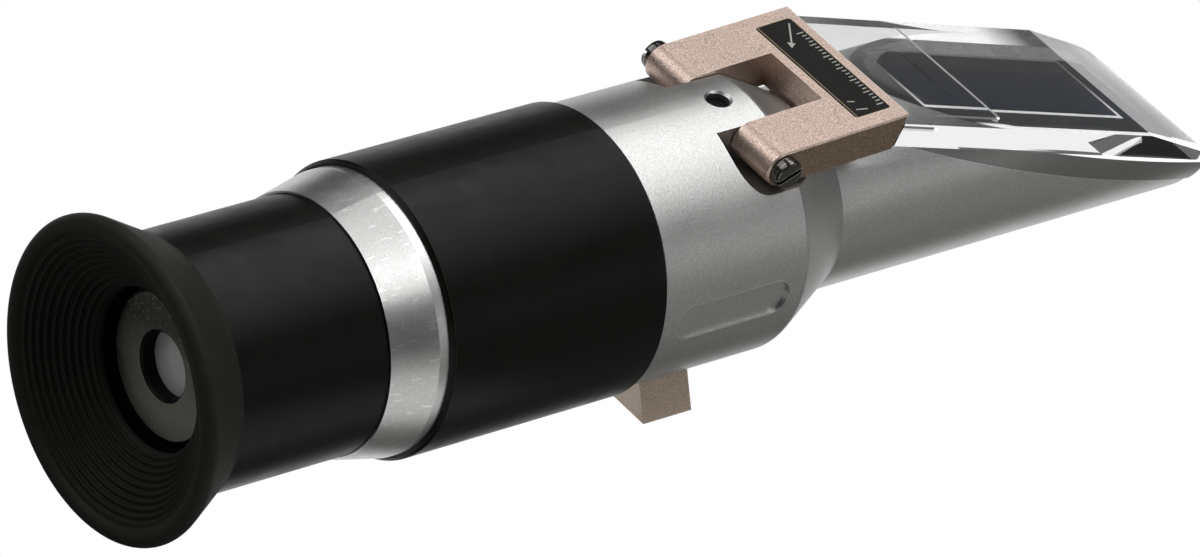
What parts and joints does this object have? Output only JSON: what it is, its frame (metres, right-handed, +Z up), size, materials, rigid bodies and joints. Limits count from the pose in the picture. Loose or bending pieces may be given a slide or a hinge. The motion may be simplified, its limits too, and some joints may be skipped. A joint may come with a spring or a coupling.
{
  "type": "handheld refractometer",
  "caption": "Hand-held optical refractometer: rubber eyecup, focusing eyepiece, gripped tube, metal head with slanted prism and a hinged clear cover plate.",
  "frame": {"origin": "under the middle of the length, on the flat surface that the eyecup rim and the foot rest on", "axes": "+X from the eyecup to the prism tip along the optical axis, +Z up through the hinged cover"},
  "size_m": [0.1572, 0.0382, 0.0381],
  "materials": {
    "soft_rubber": "matte moulded",
    "grip_rubber": "smooth, slight sheen",
    "black_barrel": "black anodised, satin",
    "black_metal": "black anodised, matte",
    "optical_glass": "polished and coated",
    "satin_plate": "satin chrome plated",
    "satin_alloy": "bead blasted",
    "dark_frame": "dark grey, satin",
    "seal": "matte",
    "prism_glass": "polished, dark behind",
    "bimetal": "bare rolled strip",
    "bare_steel": "bare",
    "black_screw": "blackened, oiled",
    "rose_alloy": "rose gold anodised, fine blasted",
    "label": "black, matte",
    "clear_plastic": "clear, polished"
  },
  "bodies": {
    "housing": {"main_tube": "satin_plate", "grip_sleeve": "grip_rubber", "reticle": "optical_glass", "reticle_ring": "black_metal", "light_stop": "black_metal", "head": "satin_alloy", "prism_frame": "dark_frame", "prism_gasket": "seal", "prism": "prism_glass", "bimetal_strip": "bimetal", "strip_clamp": "bare_steel", "strip_screw": "bare_steel", "foot_block": "rose_alloy", "foot_screws": "black_screw", "hinge_screws": "black_screw"},
    "lens_carriage": {"lens_carrier": "black_metal", "lens_retainer": "black_metal", "eye_lens": "optical_glass", "lens_spacer": "black_metal", "field_lens": "optical_glass", "guide_ring": "black_metal", "guide_pin": "bare_steel"},
    "eyepiece": {"eyecup": "soft_rubber", "focus_sleeve": "black_barrel"},
    "cover": {"cover_bracket": "rose_alloy", "label_plate": "label", "daylight_plate": "clear_plastic", "plate_screws": "black_screw"},
    "adjuster": {"calibration_screw": "bare_steel"},
    "objective": {"objective_cell": "black_metal", "objective_lens": "optical_glass", "objective_retainer": "black_metal"},
    "plug": {"calibration_plug": "soft_rubber"}
  },
  "joints": [
    {"name": "focus_travel", "type": "slide", "parent": "housing", "child": "lens_carriage", "axis": [1, 0, 0], "range_m": [-0.00251, 0.00251]},
    {"name": "focus_turn", "type": "hinge", "parent": "lens_carriage", "child": "eyepiece", "pos_m": [-0.05856, 0, 0.01905], "axis": [1, 0, 0], "range_deg": [-150, 150]},
    {"name": "cover_hinge", "type": "hinge", "parent": "housing", "child": "cover", "pos_m": [0.00644, 0, 0.0334], "axis": [0, -1, 0], "range_deg": [0, 125]},
    {"name": "calibration_turn", "type": "hinge", "parent": "housing", "child": "adjuster", "pos_m": [0.00529, 0, 0.0315], "axis": [0, 0, 1], "range_deg": [-182, 182]},
    {"name": "objective_shift", "type": "slide", "parent": "housing", "child": "objective", "axis": [0, 0, 1], "range_m": [-0.00025, 0.00025]},
    {"name": "plug_pull", "type": "slide", "parent": "housing", "child": "plug", "axis": [0, 0, 1], "range_m": [0, 0.008]}
  ],
  "couplings": [
    {"joint": "focus_travel", "follows": "focus_turn", "m_per_rad": 0.00095493},
    {"joint": "calibration_turn", "follows": "objective_shift", "rad_per_m": 12566}
  ]
}
